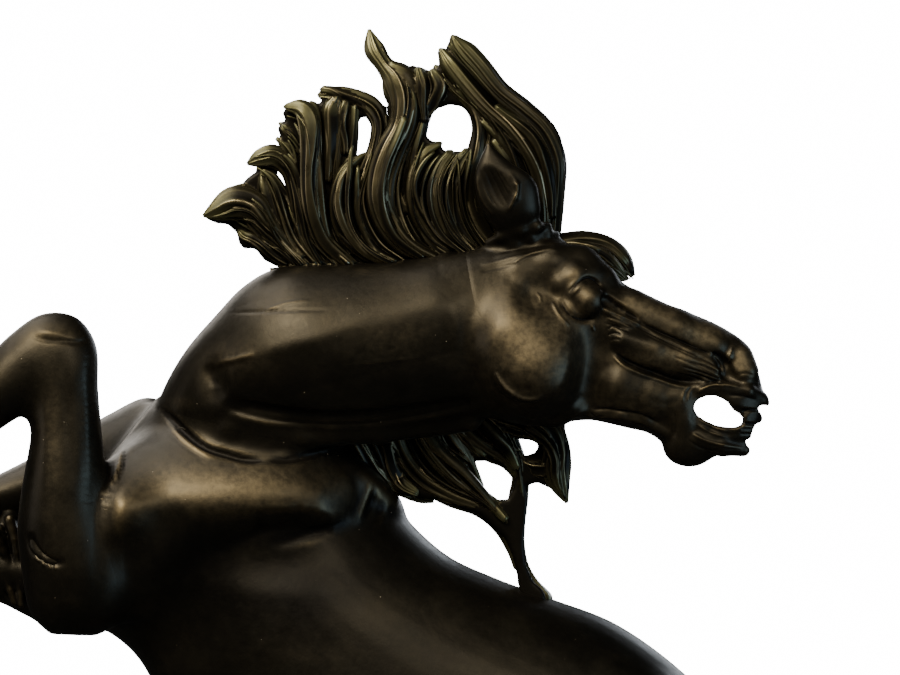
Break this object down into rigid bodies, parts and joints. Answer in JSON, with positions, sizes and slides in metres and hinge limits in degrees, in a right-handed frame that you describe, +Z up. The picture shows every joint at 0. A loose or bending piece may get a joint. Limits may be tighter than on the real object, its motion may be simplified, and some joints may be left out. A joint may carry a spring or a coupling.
{
  "type": "bronze horse statue",
  "caption": "Patinated bronze statuette of a rearing horse with its head turned back and its mane flying, on a bronze ground and an oval marble base",
  "frame": {"origin": "middle of the felt face that the statue rests on, under the middle of the marble base", "axes": "+Z up, +X towards the tail end of the body (the horse's chest faces -X and its turned head points along +X), -Y is the horse's left side"},
  "size_m": [0.3541, 0.14, 0.5009],
  "materials": {
    "bronze_body": "lost-wax bronze, near-black brown patina, waxed to a soft gloss, rubbed to warm brown on the high points",
    "bronze_mane": "lost-wax bronze, olive brown patina, dark in the grooves and rubbed to gold on the ridges",
    "bronze_ground": "textured bronze ground with a dark brown patina",
    "bronze_pins": "plain turned bronze",
    "marble": "polished black marble with thin pale veins",
    "steel_hardware": "zinc-plated steel",
    "felt": "dark green wool felt"
  },
  "bodies": {
    "root": {"trunk": "bronze_body", "neck": "bronze_body", "head": "bronze_body", "forelock": "bronze_mane", "crest_mane_front": "bronze_mane", "crest_mane_rear": "bronze_mane", "lower_mane": "bronze_mane", "left_foreleg": "bronze_body", "right_foreleg": "bronze_body", "left_hind_leg": "bronze_body", "right_hind_leg": "bronze_body", "tail": "bronze_mane", "leg_dowels": "bronze_pins", "head_pins": "bronze_pins", "ground_plinth": "bronze_ground", "ground_studs": "steel_hardware", "stud_washers": "steel_hardware", "stud_nuts": "steel_hardware", "marble_base": "marble", "base_bolts": "steel_hardware", "bolt_washers": "steel_hardware", "felt_pad": "felt"}
  },
  "joints": []
}
